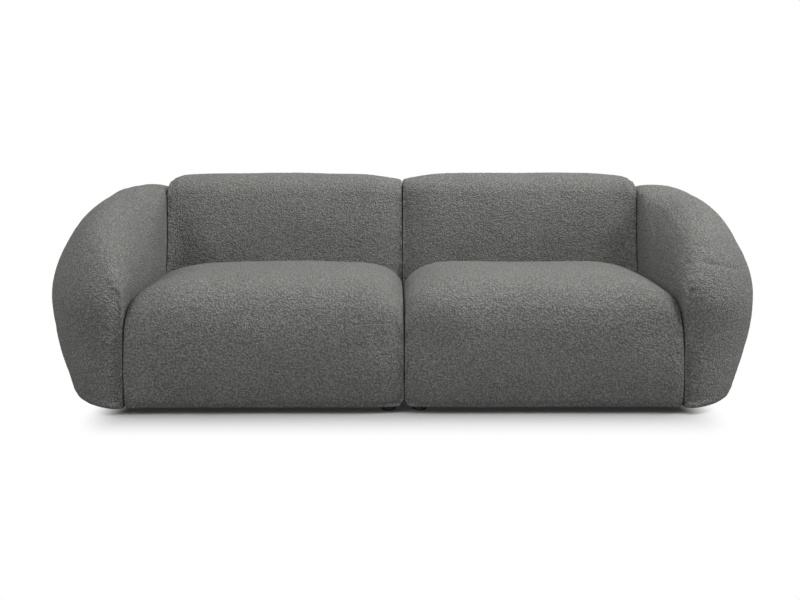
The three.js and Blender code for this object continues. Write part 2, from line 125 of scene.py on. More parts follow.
def normalsOf(obj):
    normals = np.zeros(len(obj.data.vertices) * 3, np.float32)
    obj.data.vertices.foreach_get("normal", normals)
    return normals.reshape(-1, 3).astype(float)


def setPoints(obj, points):
    obj.data.vertices.foreach_set("co", points.astype(np.float32).ravel())
    obj.data.update()


lattice = {
    "turn": np.array(Euler((0.5, 0.4, 0.3)).to_matrix()),  # turns the noise off the main axes
    "cells": 32,
    "gain": 1.6,
}


def smoothStep(value, low, high):
    share = np.clip((value - low) / (high - low), 0, 1)
    return share * share * (3 - 2 * share)


def softNoise(points, size, seed):
    # smooth random values from -1 to 1 that change over about that size in metres
    cells = lattice["cells"]
    values = np.random.default_rng(seed).uniform(-1, 1, (cells, cells, cells))
    spot = points @ lattice["turn"] / size
    cell = np.floor(spot).astype(int)
    share = spot - cell
    share = share * share * (3 - 2 * share)
    total = np.zeros(len(points))
    for corner in np.ndindex(2, 2, 2):
        weight = np.prod(np.where(corner, share, 1 - share), axis=1)
        x, y, z = ((cell + corner) % cells).T
        total += weight * values[x, y, z]
    return total * lattice["gain"]


report("frame loaded")

# The camera stands at the photograph's angle, and its shift frames the sofa as the photograph does

camera = {
    "place": (-0.0345, -3.3634, 0.8113),
    "tiltDown": 3.1636,
    "turn": -0.418,
    "focalPixels": 937.66,
    "middleRow": 206.62,
    "imageSize": (800, 600),
    "sensor": 36,
}


def makeCamera():
    width, height = camera["imageSize"]
    data = bpy.data.cameras.new("camera")
    data.sensor_width = camera["sensor"]
    data.lens = camera["focalPixels"] / width * camera["sensor"]
    data.shift_y = (camera["middleRow"] - height / 2) / width
    obj = bpy.data.objects.new("camera", data)
    obj.location = camera["place"]
    obj.rotation_euler = (math.radians(90 - camera["tiltDown"]), 0, math.radians(camera["turn"]))
    bpy.context.scene.collection.objects.link(obj)
    bpy.context.scene.camera = obj


makeCamera()
report("camera")

# The materials are built from these two classes


class Wire:
    # an output socket that can stand in a sum
    def __init__(self, shade, socket):
        self.shade = shade
        self.socket = socket

    def __add__(self, other):
        return self.shade.math("ADD", self, other)

    def __radd__(self, other):
        return self.shade.math("ADD", other, self)

    def __sub__(self, other):
        return self.shade.math("SUBTRACT", self, other)

    def __rsub__(self, other):
        return self.shade.math("SUBTRACT", other, self)

    def __mul__(self, other):
        return self.shade.math("MULTIPLY", self, other)

    def __rmul__(self, other):
        return self.shade.math("MULTIPLY", other, self)


class Shade:
    # a material or world whose nodes are being joined up
    def __init__(self, block):
        block.use_nodes = True
        self.block = block
        self.tree = block.node_tree
        self.tree.nodes.clear()

    def node(self, kind, inputs=None, settings=None, out=0):
        made = self.tree.nodes.new(kind)
        for key, value in (settings or {}).items():
            if key == "stops":
                self.setStops(made.color_ramp, value)
            else:
                setattr(made, key, value)
        for key, value in (inputs or {}).items():
            socket = self.pick(made.inputs, key)
            if isinstance(value, Wire):
                self.tree.links.new(value.socket, socket)
            else:
                socket.default_value = value
        return Wire(self, self.pick(made.outputs, out)) if made.outputs else None

    def pick(self, sockets, key):
        if isinstance(key, int):
            return sockets[key]
        return next(s for s in sockets if key in (s.identifier, s.name))

    def setStops(self, ramp, stops):
        while len(ramp.elements) < len(stops):
            ramp.elements.new(0.5)
        for element, (position, colour) in zip(ramp.elements, stops):
            element.position = position
            element.color = colour

    def math(self, operation, a, b):
        return self.node("ShaderNodeMath", {0: a, 1: b}, {"operation": operation})

    def vector(self, operation, a, b, c=(0, 0, 0)):
        return self.node("ShaderNodeVectorMath", {0: a, 1: b, 2: c}, {"operation": operation})

    def mixColour(self, factor, a, b, blend="MIX"):
        return self.node(
            "ShaderNodeMix",
            {"Factor_Float": factor, "A_Color": a, "B_Color": b},
            {"data_type": "RGBA", "blend_type": blend},
            "Result_Color",
        )

    def place(self, scale=(1, 1, 1), turn=(0, 0, 0)):
        # object coordinates, stretched or turned
        object = self.node("ShaderNodeTexCoord", out="Object")
        return self.node("ShaderNodeMapping", {"Vector": object, "Scale": scale, "Rotation": turn})

    def noise(self, vector, scale, detail=2, roughness=0.5, out="Fac"):
        inputs = {"Vector": vector, "Scale": scale, "Detail": detail, "Roughness": roughness}
        return self.node("ShaderNodeTexNoise", inputs, out=out)

    def voronoi(self, vector, size, more=None, out="Distance"):
        inputs = {"Vector": vector, "Scale": 1 / size, **(more or {})}
        return self.node("ShaderNodeTexVoronoi", inputs, out=out)

    def spread(self, value, low, high, toLow=0, toHigh=1):
        inputs = {"Value": value, "From Min": low, "From Max": high}
        inputs.update({"To Min": toLow, "To Max": toHigh})
        return self.node("ShaderNodeMapRange", inputs, {"interpolation_type": "SMOOTHSTEP"})

    def bump(self, height, strength, distance):
        return self.node("ShaderNodeBump", {"Height": height, "Strength": strength, "Distance": distance})

    def principled(self, **inputs):
        named = {key.replace("_", " "): value for key, value in inputs.items()}
        shader = self.node("ShaderNodeBsdfPrincipled", named)
        self.node("ShaderNodeOutputMaterial", {"Surface": shader})


def newShade(name):
    return Shade(bpy.data.materials.new(name))


def grey(value, blueShare=1.0):
    return (value, value, value * blueShare, 1)


# Looped fabric: rounded loops with painted shade in the gaps between them, finer fibres on them, and a
# soft mottling

boucle = {
    "base": 0.156,
    "blueShare": 0.955,
    # the share of the colour that the gaps between the loops keep, as they are darkened with painted
    # shade
    "gapShadeShare": 0.52,
    "loopSize": 0.0060,
    "fibreSize": 0.0026,
    "curlShare": 1.15,
    "smoothness": 0.35,
    "driftSize": 0.012,
    "wander": 0.005,
    "mottleSize": 0.20,
    "mottleShares": (0.93, 0.14),
    "toneRange": (0.05, 0.80),
    "brightest": 1.25,
    "roughness": 0.95,
    "bumpDepth": 0.0041,
    "bumpStrength": 1.0,
    "specular": 0.08,
}


def boucleMaterial():
    shade = newShade("boucle")
    place = shade.place()
    drift = shade.noise(place, 1 / boucle["driftSize"], 2, out="Color")
    wander = shade.vector("SUBTRACT", drift, (0.5, 0.5, 0.5))
    pushed = shade.vector("MULTIPLY_ADD", wander, (boucle["wander"],) * 3, place)
    loops = shade.node(
        "ShaderNodeTexVoronoi",
        {"Vector": pushed, "Scale": 1 / boucle["loopSize"], "Smoothness": boucle["smoothness"]},
        {"feature": "SMOOTH_F1"},
        "Distance",
    )
    curls = shade.noise(pushed, 1 / boucle["loopSize"] * boucle["curlShare"], 1, 0.5)
    fibres = shade.noise(pushed, 1 / boucle["fibreSize"], 2, 0.6)
    height = (0.85 - loops) * 0.9 + (curls - 0.5) * 1.1 + (fibres - 0.5) * 0.30
    mottle = shade.noise(place, 1 / boucle["mottleSize"], 3, 0.55)
    # the colour is darker where the loops are low, which is painted shade in the gaps; the mottling below
    # is the yarn's own uneven tone
    tone = boucle["gapShadeShare"] + (1 - boucle["gapShadeShare"]) * shade.spread(height, *boucle["toneRange"])
    least, more = boucle["mottleShares"]
    tone = tone * (least + more * mottle)
    light = grey(boucle["base"] * boucle["brightest"], boucle["blueShare"])
    colour = shade.mixColour(tone, (0, 0, 0, 1), light)
    shade.principled(
        Base_Color=colour,
        Roughness=boucle["roughness"],
        Specular_IOR_Level=boucle["specular"],
        Normal=shade.bump(height, boucle["bumpStrength"], boucle["bumpDepth"]),
    )
    return shade.block


boucleCloth = boucleMaterial()

# The finishes inside and under the sofa, each in the colour that the record gives its slot

slotColour = {row["slot"]: row["base_color"] for row in frame["record"]["materials"]}
axisNames = "XYZ"
brightestTint = 1.2
grain = {
    "foamCell": 0.0022,
    "foamPatch": 0.07,
    "foamBump": 0.0012,
    "ringScale": 9,
    "ringWobble": 5,
    "fibre": 0.0016,
    "stretch": 0.05,
    "timberPatch": 0.09,
    "timberBump": 0.0006,
    "veneer": 0.0028,
    "veneerPatch": 0.05,
    "veneerBump": 0.0005,
    "drawnLine": 0.0012,
    "drawnStretch": (1, 0.1, 1),
    "oilPatch": 0.02,
    "steelBump": 0.0003,
    "spangle": 0.009,
    "scuff": 0.002,
    "scuffStretch": (0.2, 1, 1),
    "spark": 0.0009,
    "wearPatch": 0.014,
    "plasticBump": 0.0003,
    "clothDot": 0.0018,
    "clothFibre": 0.0011,
    "clothCloud": 0.03,
    "clothBump": 0.0005,
}


def slotTint(shade, slot, tone):
    # the slot's colour, lighter or darker with tone
    brightest = [min(1, brightestTint * part) for part in slotColour[slot]]
    return shade.mixColour(tone, (0, 0, 0, 1), (*brightest, 1))


def foamMaterial():
    shade = newShade("foam")
    place = shade.place()
    cells = shade.voronoi(place, grain["foamCell"])
    patches = shade.noise(place, 1 / grain["foamPatch"], 3)
    tone = (0.66 + 0.22 * cells) * (0.92 + 0.16 * patches)
    shade.principled(
        Base_Color=slotTint(shade, "foam", tone),
        Roughness=0.92,
        Normal=shade.bump(cells, 0.7, grain["foamBump"]),
    )
    return shade.block


def timberMaterial(along):
    # growth rings and fine fibres that run along one axis
    shade = newShade(f"timber{axisNames[along]}")
    stretch = [grain["stretch"] if axis == along else 1 for axis in range(3)]
    place = shade.place(stretch)
    rings = shade.node(
        "ShaderNodeTexWave",
        {
            "Vector": place,
            "Scale": grain["ringScale"],
            "Distortion": grain["ringWobble"],
            "Detail": 2,
            "Detail Scale": 2,
        },
        {"wave_type": "RINGS", "rings_direction": axisNames[along], "wave_profile": "SAW"},
        "Fac",
    )
    fibres = shade.noise(place, 1 / grain["fibre"], 3, 0.6)
    patches = shade.noise(place, 1 / grain["timberPatch"], 2)
    tone = (0.70 + 0.16 * rings) * (0.86 + 0.28 * fibres) * (0.88 + 0.24 * patches)
    shade.principled(
        Base_Color=slotTint(shade, "timber", tone),
        Roughness=0.62 + 0.16 * fibres,
        Normal=shade.bump(fibres + 0.5 * rings, 0.35, grain["timberBump"]),
    )
    return shade.block


def plywoodMaterial(through):
    # veneers that lie across one axis, and show as thin lines on the board's edges
    shade = newShade(f"plywood{axisNames[through]}")
    along = (through + 1) % 3
    stretch = [grain["stretch"] if axis == along else 1 for axis in range(3)]
    veneers = shade.node(
        "ShaderNodeTexWave",
        {"Vector": shade.place(), "Scale": math.tau / 20 / grain["veneer"], "Distortion": 0.3},
        {"wave_type": "BANDS", "bands_direction": axisNames[through], "wave_profile": "SIN"},
        "Fac",
    )
    fibres = shade.noise(shade.place(stretch), 1 / grain["fibre"], 3, 0.6)
    patches = shade.noise(shade.place(stretch), 1 / grain["veneerPatch"], 3)
    tone = (0.62 + 0.26 * veneers) * (0.84 + 0.3 * fibres) * (0.84 + 0.32 * patches)
    shade.principled(
        Base_Color=slotTint(shade, "plywood", tone),
        Roughness=0.58 + 0.2 * fibres,
        Normal=shade.bump(fibres, 0.3, grain["veneerBump"]),
    )
    return shade.block


def springSteelMaterial():
    shade = newShade("springSteel")
    place = shade.place(grain["drawnStretch"])
    drawn = shade.noise(place, 1 / grain["drawnLine"], 3, 0.6)
    oil = shade.noise(shade.place(), 1 / grain["oilPatch"], 3)
    shade.principled(
        Base_Color=slotTint(shade, "spring_steel", 0.62 + 0.25 * drawn + 0.2 * oil),
        Metallic=1.0,
        Roughness=0.28 + 0.25 * oil,
        Normal=shade.bump(drawn, 0.2, grain["steelBump"]),
    )
    return shade.block


def zincSteelMaterial():
    # plated sheet with its patches of crystals
    shade = newShade("zincSteel")
    place = shade.place()
    crystals = shade.voronoi(place, grain["spangle"], out="Color")
    patch = shade.node("ShaderNodeSeparateColor", {0: crystals}, out=0)
    scuffs = shade.noise(shade.place(grain["scuffStretch"]), 1 / grain["scuff"], 3, 0.65)
    shade.principled(
        Base_Color=slotTint(shade, "zinc_steel", 0.66 + 0.2 * patch + 0.14 * scuffs),
        Metallic=1.0,
        Roughness=0.3 + 0.14 * patch + 0.12 * scuffs,
        Normal=shade.bump(scuffs, 0.15, grain["steelBump"]),
    )
    return shade.block


def footPlasticMaterial():
    shade = newShade("footPlastic")
    place = shade.place()
    sparks = shade.noise(place, 1 / grain["spark"], 2, 0.6)
    wear = shade.noise(place, 1 / grain["wearPatch"], 3)
    shade.principled(
        Base_Color=slotTint(shade, "foot_plastic", 0.7 + 0.2 * wear),
        Roughness=0.44 + 0.22 * wear,
        Normal=shade.bump(sparks, 0.35, grain["plasticBump"]),
    )
    return shade.block


def undersideClothMaterial():
    # pressed fibres with a close pattern of bonded dots
    shade = newShade("undersideCloth")
    place = shade.place()
    dots = shade.voronoi(place, grain["clothDot"], {"Randomness": 0.15})
    fibres = shade.noise(place, 1 / grain["clothFibre"], 3, 0.7)
    clouds = shade.noise(place, 1 / grain["clothCloud"], 3)
    shade.principled(
        Base_Color=slotTint(shade, "underside_cloth", 0.5 + 0.3 * fibres + 0.3 * clouds),
        Roughness=0.82 + 0.14 * fibres,
        Normal=shade.bump(dots + 0.6 * fibres, 0.6, grain["clothBump"]),
    )
    return shade.block


foamBlock = foamMaterial()
timbers = [timberMaterial(axis) for axis in range(3)]
plywoods = [plywoodMaterial(axis) for axis in range(3)]
undersideFabric = undersideClothMaterial()
nodeFinishes = {
    "rail_": timbers,
    "upright_": timbers,
    "top_rail": timbers,
    "back_panel": plywoods,
    "arm_board": plywoods,
    "arm_rib": plywoods,
    "seat_spring": [springSteelMaterial()] * 3,
    "spring_strip": [zincSteelMaterial()] * 3,
    "hook_": [bpy.data.materials["zincSteel"]] * 3,
    "foot_": [footPlasticMaterial()] * 3,
}


def finishNodes():
    # timber's grain follows its longest side, and plywood's veneers lie across its shortest
    for name, obj in nodes.items():
        finishes = next((value for key, value in nodeFinishes.items() if name.startswith(key)), None)
        if finishes is None:
            continue
        low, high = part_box(name)
        spans = list(high - low)
        span = min(spans) if finishes is plywoods else max(spans)
        obj.data.materials.clear()
        obj.data.materials.append(finishes[spans.index(span)])


finishNodes()
report("materials")

# The covers. Each one starts as the filled form of its CAD cover, is remeshed, swells like an
# upholstered pad in a cloth simulation, and then gets its puckers, dents and unevenness. The left
# half starts as the mirror image of the right half, and its unevenness is its own.

cover = {
    "voxel": 0.0105,
    "facetPasses": 8,
    "evenPasses": 40,
    "pressure": 4.0,
    "frames": 20,
    "heldBand": 0.0045,
    "smoothAngle": 50,
    "lumpSize": 0.13,
    "lumpHeight": 0.0022,
    "pebbleSize": 0.012,
    "pebbleHeight": 0.0004,
    "puckerSize": 0.026,
    "puckerDepth": 0.0022,
    "puckerReach": 0.030,
    "puckerStretch": (0.3, 1, 1),
    "puckerPatch": 0.15,
    "puckerRange": (-0.3, 0.6),
    "puckerLeast": 0.35,
    "stillBand": (0.001, 0.012),
    "upward": (0.2, 0.7),
    "downward": (0.2, 0.6),
    "crownReach": 0.12,
    "edgeKept": (0.004, 0.035),
    "edgeSoftness": (0.15, 0.85),
    "notchLift": [(0, 0.016), (0.008, 0.014), (0.015, 0.010), (0.030, 0.006), (0.050, 0.003), (0.09, 0)],
    "notchHigh": (0.62, 0.70),
    "middleGive": 0.0008,
    "middleReach": (0.002, 0.02),
    "middleDeep": (0.09, 0.14),
    "backEdge": [(0, 0.020), (0.010, 0.018), (0.020, 0.012), (0.030, 0.007), (0.050, 0.002), (0.07, 0)],
    "backEdgeDeep": (0.19, 0.27),
    "creaseDepth": 0.006,
    "creaseReach": 0.016,
    "bulge": 0.009,
    "bulgeReach": 0.07,
    "bulgeHigh": (0.47, 0.70),
    "cornerFill": 0.018,
    "armFill": {"left": 0.010, "right": 0.003},
    "armFillReach": 0.05,
    "armSag": 0.012,
    "armSagHigh": (0.03, 0.07),
    "wallRoom": 0.025,
    "wallTouch": 0.0001,
    "skinReach": 0.009,
    "leastNormal": 0.3,
}
cloth = {
    "quality": 5,
    "mass": 0.3,
    "tension_stiffness": 80,
    "compression_stiffness": 80,
    "shear_stiffness": 40,
    "bending_stiffness": 10,
    "use_pressure": True,
    "uniform_pressure_force": cover["pressure"],
    "vertex_group_mass": "held",
}
seeds = {"part": 10, "left": 100, "cloth": 40}
coverParts = {
    "seat": {"fill": [], "convex": True, "drawIn": 0.006, "mostMove": 0.007, "crown": (0.020, -0.010)},
    "back": {"fill": [], "convex": True, "drawIn": 0.006, "mostMove": 0.007, "crown": (0.020, 0.004)},
    "arm": {
        "fill": ["arm_foam", "arm_rib_front", "arm_rib_rear", "arm_board"],
        "convex": False,
        "drawIn": 0.001,
        "mostMove": 0.008,
        "crown": (0, 0.028),
    },
}


def contactPlanes(part, side):
    # where this cover presses against its neighbours: axis, limit, and which way is outside
    low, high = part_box(f"{part}_cover_{side}")
    sign = sides[side]
    planes = [(2, low.z, -1)]
    if part == "arm":
        planes.append((0, low.x if sign > 0 else high.x, -sign))
    else:
        planes.append((0, low.x, -1))
        planes.append((0, high.x, 1))
    if part == "seat":
        planes.append((1, high.y, 1))
    return planes


def clampToPlanes(points, planes):
    for axis, limit, outward in planes:
        keep = np.minimum if outward > 0 else np.maximum
        points[:, axis] = keep(points[:, axis], limit)
    return points


def planeDistance(points, planes):
    # how far each point is from the nearest contact plane
    return np.min([np.abs(points[:, axis] - limit) for axis, limit, outward in planes], axis=0)


def evened(obj, values, passes):
    # each point's value moves towards those of its neighbours
    ends = np.zeros(len(obj.data.edges) * 2, np.int32)
    obj.data.edges.foreach_get("vertices", ends)
    one, other = ends.reshape(-1, 2).T
    size = len(values)
    neighbours = np.bincount(ends, minlength=size)
    for step in range(passes):
        total = np.bincount(one, values[other], size) + np.bincount(other, values[one], size)
        values = (values + total / neighbours) / 2
    return values


def swell(obj, planes, mostMove):
    # a cloth simulation blows the skin up a little, held where it presses on its neighbours
    start, normals = pointsOf(obj), normalsOf(obj)
    held = obj.vertex_groups.new(name="held")
    near = np.flatnonzero(planeDistance(start, planes) < cover["heldBand"])
    held.add(near.tolist(), 1.0, "REPLACE")
    makeActive(obj)
    modifier = obj.modifiers.new("cloth", "CLOTH")
    for key, value in cloth.items():
        setattr(modifier.settings, key, value)
    modifier.settings.effector_weights.gravity = 0
    modifier.point_cache.frame_start = 1
    modifier.point_cache.frame_end = cover["frames"]
    for frameNumber in range(1, cover["frames"] + 1):
        bpy.context.scene.frame_set(frameNumber)
    bpy.ops.object.modifier_apply(modifier="cloth")
    bpy.context.scene.frame_set(1)
    rise = np.sum((pointsOf(obj) - start) * normals, axis=1)
    rise = evened(obj, np.tanh(rise / mostMove) * mostMove, cover["evenPasses"])
    setPoints(obj, clampToPlanes(start + normals * rise[:, None], planes))
    obj.vertex_groups.clear()
    report(f"swollen by {rise.mean() * 1000:.1f} mm on average, {rise.max() * 1000:.1f} at most")


def coverForm(part, side):
    # the filled form of a cover, swollen, before it gets its own unevenness
    form = coverParts[part]
    filled = [f"{extra}_{side}" for extra in form["fill"]]
    obj = joinedCopy([f"{part}_cover_{side}"] + filled, f"{part}_form")
    if form["convex"]:
        editMesh(obj, bpy.ops.mesh.convex_hull)
    planes = contactPlanes(part, side)
    applyModifier(obj, "REMESH", mode="VOXEL", voxel_size=cover["voxel"])
    gap = planeDistance(pointsOf(obj), planes)
    inside = gap > cover["heldBand"]
    softer = obj.vertex_groups.new(name="softer")
    least, more = cover["edgeSoftness"]
    for index, weight in enumerate(smoothStep(gap, *cover["edgeKept"])):
        softer.add([index], least + more * weight, "REPLACE")
    applyModifier(obj, "SMOOTH", factor=0.5, iterations=cover["facetPasses"], vertex_group="softer")
    points = pointsOf(obj) - normalsOf(obj) * (form["drawIn"] * inside)[:, None]
    setPoints(obj, clampToPlanes(points, planes))
    swell(obj, planes, form["mostMove"])
    applyModifier(obj, "SUBSURF", levels=1, render_levels=1)
    return obj


def mirrored(obj, name):
    mesh = obj.data.copy()
    copy = bpy.data.objects.new(name, mesh)
    bpy.context.scene.collection.objects.link(copy)
    points = pointsOf(copy)
    points[:, 0] *= -1
    mesh.flip_normals()
    setPoints(copy, points)
    return copy


def nearness(gap, reach):
    # 1 at a seam, and 0 from that reach on
    return np.clip(1 - gap / reach, 0, 1) ** 2


def besideArm(wall):
    return abs(wall[1]) > cover["crownReach"]


def rollSeams(obj, part, side, planes):
    # fronts curve back towards each upright seam and keep a tight edge there, whose wall stays
    points, normals = pointsOf(obj), normalsOf(obj)
    walls = [plane for plane in planes if plane[0] == 0]
    facing = np.clip(-normals[:, 1], 0, 1)
    rise = np.zeros(len(points))
    for wall in walls:
        # the first crown is at the middle of the sofa, the second beside the arm
        depth = coverParts[part]["crown"][besideArm(wall)]
        rise -= depth * nearness(planeDistance(points, [wall]), cover["crownReach"]) * facing
    onTop = smoothStep(normals[:, 2], *cover["upward"])
    if part == "arm":
        # the arm's top is fuller beside the back, and its underside comes down to its board
        atSeam = nearness(planeDistance(points, walls), cover["armFillReach"]) * (points[:, 1] > 0)
        underneath = smoothStep(-normals[:, 2], *cover["downward"])
        low = 1 - smoothStep(points[:, 2], *cover["armSagHigh"])
        rise *= 1 - onTop
        rise += cover["armFill"][side] * atSeam * onTop
        rise += cover["armSag"] * underneath * low
    if part == "seat":
        crease = nearness(planes[-1][1] - points[:, 1], cover["creaseReach"])
        rise -= cover["creaseDepth"] * crease * onTop
    if part == "back":
        outward = np.clip(normals[:, 0] * sides[side], 0, 1) * np.clip(normals[:, 2], 0, 1)
        rise += cover["cornerFill"] * outward
    points += normals * (0, 1, 1) * rise[:, None]
    if part == "back":
        points = shapeBackEdges(points, walls)
    setPoints(obj, points)


def shapeBackEdges(points, walls):
    # the backs' tops are lifted towards the middle seam, and their fronts come forward beside the arm
    away, lift = np.transpose(cover["notchLift"])
    high = smoothStep(points[:, 2], *cover["notchHigh"])
    points[:, 2] += np.interp(np.abs(points[:, 0]), away, lift) * high
    away, lift = np.transpose(cover["backEdge"])
    front = 1 - smoothStep(points[:, 1], *cover["backEdgeDeep"])
    armGap = planeDistance(points, [wall for wall in walls if besideArm(wall)])
    points[:, 1] -= np.interp(armGap, away, lift) * front
    return points


def closeMiddle(obj, part, side):
    # deep inside the middle seam the two halves all but touch, so that no light comes through
    points = pointsOf(obj)
    low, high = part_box(f"{part}_cover_{side}")
    near = 1 - smoothStep(np.abs(points[:, 0]), *cover["middleReach"])
    depth = np.minimum(points[:, 1] - low.y, high.y - points[:, 1])
    give = cover["middleGive"] * near * smoothStep(depth, *cover["middleDeep"])
    points[:, 0] -= np.sign(points[:, 0]) * give
    setPoints(obj, points)


def slantSeam(obj):
    # the backs bulge over the arms at the top, so that their seam slants. Both sides of it move.
    points = pointsOf(obj)
    seat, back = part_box("seat_cover_right"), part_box("back_cover_right")
    out = np.abs(points[:, 0])
    near = np.exp(-(((out - seat[1].x) / cover["bulgeReach"]) ** 2))
    high = smoothStep(points[:, 2], *cover["bulgeHigh"])
    behind = smoothStep(points[:, 1], back[0].y - cover["bulgeReach"], back[0].y)
    points[:, 0] += np.sign(points[:, 0]) * cover["bulge"] * near * high * behind
    setPoints(obj, points)


# Folds that are pressed into the arms: both ends in metres, then how deep and how wide. The puffs
# beside them stand proud: the middle of each, how far it reaches and how high.

armFolds = {
    "left": [
        ((-1.010, -0.382, 0.499), (-0.905, -0.400, 0.486), 0.0032, 0.008),
        ((-0.960, -0.130, 0.615), (-0.900, -0.060, 0.570), 0.0016, 0.014),
    ],
    "right": [
        ((0.877, -0.310, 0.405), (0.905, -0.415, 0.474), 0.0045, 0.010),
        ((0.905, -0.415, 0.474), (0.990, -0.425, 0.462), 0.0050, 0.010),
        ((0.990, -0.425, 0.462), (1.080, -0.360, 0.444), 0.0036, 0.009),
    ],
}
armPuffs = {
    "left": [((-0.960, -0.470, 0.360), 0.085, 0.010), ((-1.040, -0.410, 0.380), 0.085, 0.006)],
    "right": [((0.930, -0.480, 0.365), 0.075, 0.011), ((1.035, -0.425, 0.365), 0.085, 0.009)],
}
foldShape = {"endShare": 0.25, "rim": 0.35, "rimReach": 2.4}


def pressFolds(obj, side):
    points, normals = pointsOf(obj), normalsOf(obj)
    rise = np.zeros(len(points))
    for start, end, depth, width in armFolds[side]:
        start, along = np.array(start), np.subtract(end, start)
        share = np.clip((points - start) @ along / (along @ along), 0, 1)
        away = np.linalg.norm(points - start - share[:, None] * along, axis=1) / width
        ends = foldShape["endShare"]
        fade = np.sin(np.pi * (ends + (1 - 2 * ends) * share))
        rim = foldShape["rim"] * np.exp(-((away / foldShape["rimReach"]) ** 2))
        rise -= depth * fade * (np.exp(-(away**2)) - rim)
    for middle, reach, height in armPuffs[side]:
        away = np.linalg.norm(points - middle, axis=1) / reach
        rise += height * np.exp(-(away**2))
    setPoints(obj, points + normals * rise[:, None])


def uneven(obj, planes, seed):
    # low lumps, pebbles of looped yarn, and puckers that run away from the seams
    points, normals = pointsOf(obj), normalsOf(obj)
    gap = planeDistance(points, planes)
    free = smoothStep(gap, *cover["stillBand"])
    lumps = softNoise(points, cover["lumpSize"], seed)
    pebbles = softNoise(points, cover["pebbleSize"], seed + 1)
    height = cover["lumpHeight"] * lumps + cover["pebbleHeight"] * pebbles
    seams = [plane for plane in planes if plane[0] == 0]
    nearSeam = np.exp(-planeDistance(points, seams) / cover["puckerReach"])
    along = points * cover["puckerStretch"]
    ripples = softNoise(along, cover["puckerSize"], seed + 2)
    strong = smoothStep(softNoise(points, cover["puckerPatch"], seed + 3), *cover["puckerRange"])
    least = cover["puckerLeast"]
    height += cover["puckerDepth"] * ripples * nearSeam * (least + (1 - least) * strong)
    setPoints(obj, points + normals * (height * free)[:, None])


def hollow(obj, source, form, planes):
    # the CAD cover with its skin moved well outside, so that it cuts only the hollow
    tool = joinedCopy([source], "hollow")
    points = pointsOf(tool)
    formPoints, formNormals = pointsOf(form), normalsOf(form)
    tree = kdtree.KDTree(len(formPoints))
    for index, point in enumerate(formPoints):
        tree.insert(point, index)
    tree.balance()
    for index, point in enumerate(points):
        found = tree.find_range(point, cover["skinReach"])
        if not found:
            continue
        push = np.zeros(3)
        normal = np.mean([formNormals[n] for place, n, distance in found], axis=0)
        for axis, limit, outward in planes:
            if abs(point[axis] - limit) < cover["wallTouch"]:
                push[axis] += outward
                normal[axis] = 0
        size = np.linalg.norm(normal)
        if size > cover["leastNormal"]:
            push += normal / size
        points[index] += push * cover["wallRoom"]
    setPoints(tool, points)
    applyModifier(obj, "BOOLEAN", operation="INTERSECT", solver="MANIFOLD", object=tool)
    bpy.data.objects.remove(tool)


def finishCover(obj, form, part, side, seed):
    name = f"{part}_cover_{side}"
    obj.name = f"{part}_cover_fabric_{side}"
    planes = contactPlanes(part, side)
    rollSeams(obj, part, side, planes)
    if part == "arm":
        pressFolds(obj, side)
    uneven(obj, planes, seed)
    setPoints(obj, clampToPlanes(pointsOf(obj), planes))
    closeMiddle(obj, part, side)
    if part != "seat":
        slantSeam(obj)
    hollow(obj, name, form, planes)
    obj.data.materials.clear()
    obj.data.materials.append(boucleCloth)
    obj.data.polygons.foreach_set("material_index", [0] * len(obj.data.polygons))
    makeActive(obj)
    bpy.ops.object.shade_smooth_by_angle(angle=math.radians(cover["smoothAngle"]))
    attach(obj, f"{side}_half")
    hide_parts(name)
    report(f"{obj.name}: {len(obj.data.polygons)} faces")


for number, part in enumerate(coverParts):
    right = coverForm(part, "right")
    left = mirrored(right, f"{part}_left_form")
    for side, obj in (("right", right), ("left", left)):
        form = obj.copy()
        form.data = obj.data.copy()
        seed = number * seeds["part"] + (side == "left") * seeds["left"]
        finishCover(obj, form, part, side, seed)
        bpy.data.objects.remove(form)

# The foam inside, with its outer edges eased a little

foam = {"ease": 0.003, "rounds": 3, "edgeAngle": 25, "flatAngle": 1}


def makeFoam(part, side):
    obj = joinedCopy([f"{part}_{side}"], f"{part}_block_{side}")
    flatAngle = math.radians(foam["flatAngle"])
    editMesh(obj, lambda: bpy.ops.mesh.dissolve_limited(angle_limit=flatAngle))
    mesh = bmesh.new()
    mesh.from_mesh(obj.data)
    weight = mesh.edges.layers.float.new("bevel_weight_edge")
    edgeAngle = math.radians(foam["edgeAngle"])
    for edge in mesh.edges:
        if edge.is_manifold and edge.is_convex and edge.calc_face_angle() > edgeAngle:
            edge[weight] = 1
    mesh.to_mesh(obj.data)
    mesh.free()
    applyModifier(obj, "BEVEL", width=foam["ease"], segments=foam["rounds"], limit_method="WEIGHT")
    obj.data.materials.clear()
    obj.data.materials.append(foamBlock)
    makeActive(obj)
    bpy.ops.object.shade_smooth_by_angle(angle=edgeAngle)
    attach(obj, f"{side}_half")
    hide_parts(f"{part}_{side}")


for side in sides:
    for part in ("seat_foam", "back_foam", "arm_foam"):
        makeFoam(part, side)
report("foam")

# The black cloth under the frame. It is stapled along the rails and sags a little between them.

underside = {
    "gridStep": 0.03,
    "sag": 0.0032,
    "wrinkleSize": 0.045,
    "wrinkleHeight": 0.0007,
    "wrinkleStretch": (1, 0.5, 1),
    "thickness": 0.0007,
    "hookRoom": 0.060,
    "downFacing": -0.9,
    "flatAngle": 0.01,
    "smoothAngle": 40,
}


def cutIntoGrid(mesh, low, high):
    for axis in range(2):
        normal = [0, 0, 0]
        normal[axis] = 1
        for place in np.arange(low[axis] + underside["gridStep"], high[axis], underside["gridStep"]):
            parts = mesh.verts[:] + mesh.edges[:] + mesh.faces[:]
            point = [share * place for share in normal]
            bmesh.ops.bisect_plane(mesh, geom=parts, plane_co=point, plane_no=normal)


def between(values, low, high):
    # 1 in the middle of a span and 0 at its ends
    share = np.clip((values - low) / (high - low), 0, 1) * 2 - 1
    return 1 - share**2


